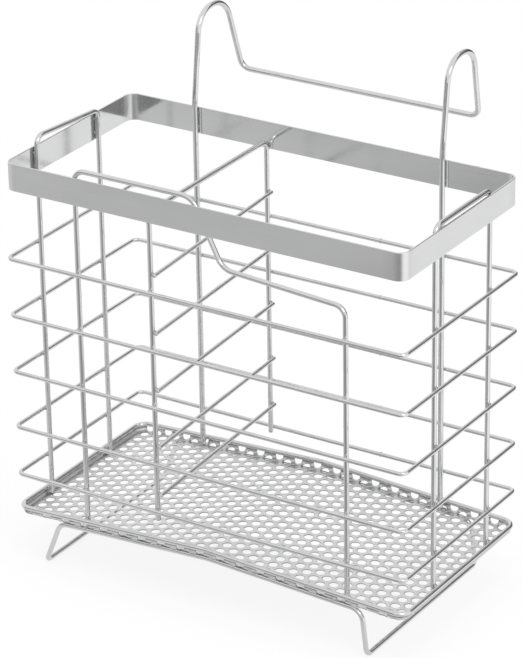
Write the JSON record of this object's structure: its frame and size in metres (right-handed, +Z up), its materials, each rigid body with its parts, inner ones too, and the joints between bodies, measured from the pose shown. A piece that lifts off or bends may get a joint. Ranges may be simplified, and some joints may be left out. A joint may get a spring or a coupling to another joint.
{
  "type": "hanging cutlery drying rack",
  "caption": "Welded wire basket on a perforated drip tray with splayed wire feet, a strip band round its mouth, a divider, and rear hooks to hang it up; holds cutlery upright to drain.",
  "frame": {"origin": "on the surface the rack stands on, in the middle of its footprint with the hooks included", "axes": "+Z up, +X along the rack to the right as seen from the front, the front faces -Y and the hooks are at +Y"},
  "size_m": [0.1948, 0.1296, 0.2293],
  "materials": {
    "polished_wire": "polished stainless wire",
    "bright_strip": "bright rolled stainless strip",
    "perforated_sheet": "satin stainless sheet"
  },
  "bodies": {
    "root": {"top_band": "bright_strip", "tray_sheet": "perforated_sheet", "ring_1": "polished_wire", "ring_2": "polished_wire", "ring_3": "polished_wire", "ring_4": "polished_wire", "ring_5": "polished_wire", "left_side_hoop": "polished_wire", "right_side_hoop": "polished_wire", "front_step_wire": "polished_wire", "hook_wire": "polished_wire", "divider_hoop": "polished_wire", "divider_bar_1": "polished_wire", "divider_bar_2": "polished_wire", "divider_bar_3": "polished_wire", "divider_bar_4": "polished_wire", "divider_bar_5": "polished_wire", "tray_rim_wire": "polished_wire", "foot_wire": "polished_wire"}
  },
  "joints": []
}
